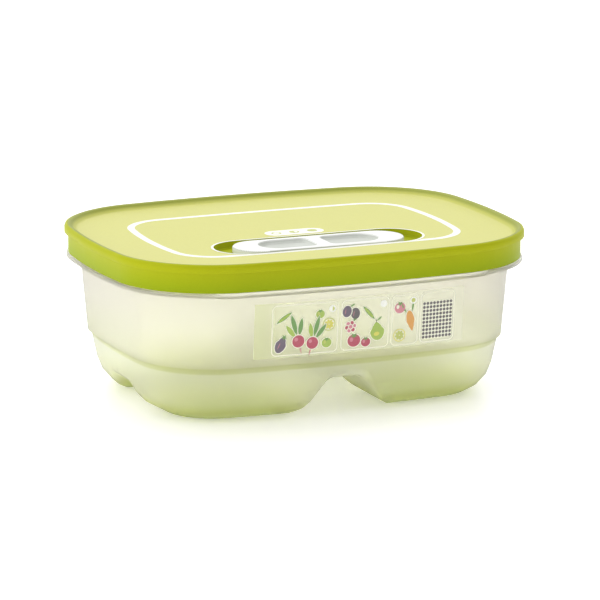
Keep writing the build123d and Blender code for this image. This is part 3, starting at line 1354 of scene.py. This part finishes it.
    def motifs(self) -> dict[str, list[Spot]]:
        """List the motifs, by name.

        Returns:
            The spots of each motif.
        """
        return {
            "motif_radishes": self.radish((-30.2, 43.6), 6.6, -16) + self.radish((-22.6, 42.2), 6.4, 14),
            "motif_pod": self.pea_pod((-38.2, 56.6), 10.5, 34),
            "motif_aubergine": self.aubergine((-39.6, 42.6), 9.6, 66),
            "motif_citrus": self.citrus((-13.6, 51.4), 7.0, Ink.LIME, Ink.YELLOW),
            "motif_sprouts": (self.tomato((-14.6, 41.6), 5.4, Ink.SPRING, Ink.LIME)
                              + self.tomato((-18.6, 57.2), 4.8, Ink.SPRING, Ink.LIME)),
            "motif_pear": self.pear((13.6, 45.4), 10.0, 98),
            "motif_tomatoes": self.tomato((0.6, 41.4), 7.2) + self.tomato((7.2, 40.0), 5.2),
            "motif_plums": self.plums((-1.4, 56.6), 5.6),
            "motif_pod_small": self.pea_pod((8.6, 55.6), 10.5, -48),
            "motif_berries": self.berries((-1.6, 49.0), 2.3),
            "motif_carrot": self.carrot((32.6, 49.0), 11.5, 102),
            "motif_apple": self.tomato((26.2, 56.6), 6.2, Ink.ROSE, Ink.CREAM),
            "motif_lemon": self.citrus((26.4, 41.8), 7.0, Ink.YELLOW, Ink.LIME),
        }

    def build(self) -> list[bpy.types.Object]:
        """Print every motif and the marks.

        Returns:
            The pieces.
        """
        pieces = [self.label.motif(spots, name) for name, spots in self.motifs().items()]
        return [*pieces, self.label.motif(self.marks(), "label_marks")]


@dataclass(frozen=True)
class Lamp:
    """A square soft light that faces the keeper.

    Args:
        name: Its name.
        place: Where it hangs, in metres.
        size: Its width in metres.
        power: Its power in watts.
    """

    name: str
    place: tuple[float, float, float]
    size: float
    power: float

    def hang(self) -> None:
        """Add the light to the scene."""
        data = bpy.data.lights.new(self.name, "AREA")
        data.size = self.size
        data.energy = self.power
        lamp = bpy.data.objects.new(self.name, data)
        bpy.context.scene.collection.objects.link(lamp)
        lamp.location = self.place
        lamp.rotation_mode = "QUATERNION"
        lamp.rotation_quaternion = (-Vector(self.place)).to_track_quat("-Z", "Y")


@dataclass
class Studio:
    """Pale floor, soft lights and the camera at the photograph's angle."""

    azimuth: float = -22.702
    elevation: float = 12.477
    distance_mm: float = 2099.2
    aim_height_mm: float = 46.75
    aim_right_mm: float = 3.393
    aim_up_mm: float = -0.153
    lens: float = 236.51
    sensor: float = 36.0
    floor_mm: float = 8000.0
    table_glow: float = 0.3
    air: float = 1.15
    air_front: str = "BCBCBC"
    air_back: str = "FFFFFF"
    lamps: tuple[Lamp, ...] = (
        Lamp("light_top", (0.1, 0.6, 1.6), 1.6, 9.0),
        Lamp("light_left", (-1.5, -0.3, 0.6), 0.9, 5.5),
    )

    def camera(self) -> None:
        """Set up the camera."""
        a, e = math.radians(self.azimuth), math.radians(self.elevation)
        back = Vector((math.sin(a) * math.cos(e), -math.cos(a) * math.cos(e), math.sin(e)))
        right = Vector((math.cos(a), math.sin(a), 0))
        up = back.cross(right)
        aim = Vector((0, 0, self.aim_height_mm)) + right * self.aim_right_mm + up * self.aim_up_mm
        data = bpy.data.cameras.new("camera")
        data.lens = self.lens
        data.sensor_width = self.sensor
        data.clip_end = 100.0
        camera = bpy.data.objects.new("camera", data)
        bpy.context.scene.collection.objects.link(camera)
        camera.location = (aim + back * self.distance_mm) * MM
        camera.rotation_mode = "QUATERNION"
        camera.rotation_quaternion = (-back).to_track_quat("-Z", "Y")
        bpy.context.scene.camera = camera

    def floor(self) -> None:
        """Lay the floor."""
        deselect()
        bpy.ops.mesh.primitive_plane_add(size=self.floor_mm * MM)
        floor = settle(bpy.context.object, "studio_floor")
        # White acrylic light table: it mirrors what stands on it faintly and lights it from below
        material, tree, shader = new_material(
            "acrylic_light_table", Roughness=0.3, IOR=1.4, Emission_Color=linear("FFFFFF"),
            Emission_Strength=self.table_glow)
        mottle = Grain(size_mm=300.0, height_mm=0.1).noise(tree)
        colour = mix_colours(tree, mottle, linear("FFFFFF"), linear("FDFDFD"))
        tree.links.new(colour, shader.inputs["Base Color"])
        floor.data.materials.append(material)

    def build(self) -> None:
        """Set up the whole studio."""
        self.floor()
        for lamp in self.lamps:
            lamp.hang()
        world = bpy.data.worlds.new("studio_air")
        bpy.context.scene.world = world
        world.use_nodes = True
        tree = world.node_tree
        heading = add_node(tree, "ShaderNodeTexCoord")
        split = add_node(tree, "ShaderNodeSeparateXYZ", inputs={0: heading.outputs["Generated"]})
        step = add_node(tree, "ShaderNodeMapRange", {"interpolation_type": "SMOOTHSTEP"},
                        {"Value": split.outputs["Y"], "From Min": -0.9, "From Max": 0.7})
        air = mix_colours(tree, step.outputs["Result"], linear(self.air_front), linear(self.air_back))
        tree.links.new(air, tree.nodes["Background"].inputs["Color"])
        tree.nodes["Background"].inputs["Strength"].default_value = self.air
        bpy.context.scene.view_settings.view_transform = "Standard"
        self.camera()


def main() -> None:
    """Build the keeper and its studio, in order."""
    logging.basicConfig(level=logging.INFO, format="%(name)s: %(message)s")
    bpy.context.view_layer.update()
    stencils = Stencils()
    wall = Wall(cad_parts["tub"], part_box("tub")[0].y - 10 * MM)
    lid = Lid(stencils)
    built = [Tub().dress(), lid.dress(), *Vent().dress(), *lid.prints()]
    label = Label(wall, stencils)
    on_tub = [label.film(), label.frames(), label.lattice(), *Produce(label).build()]
    for piece in on_tub:
        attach(piece, "tub")
    stencils.clear()
    for piece in built + on_tub:
        LOG.info("%s: %d faces", piece.name, len(piece.data.polygons))
    Studio().build()


if __name__ == "__main__":
    main()
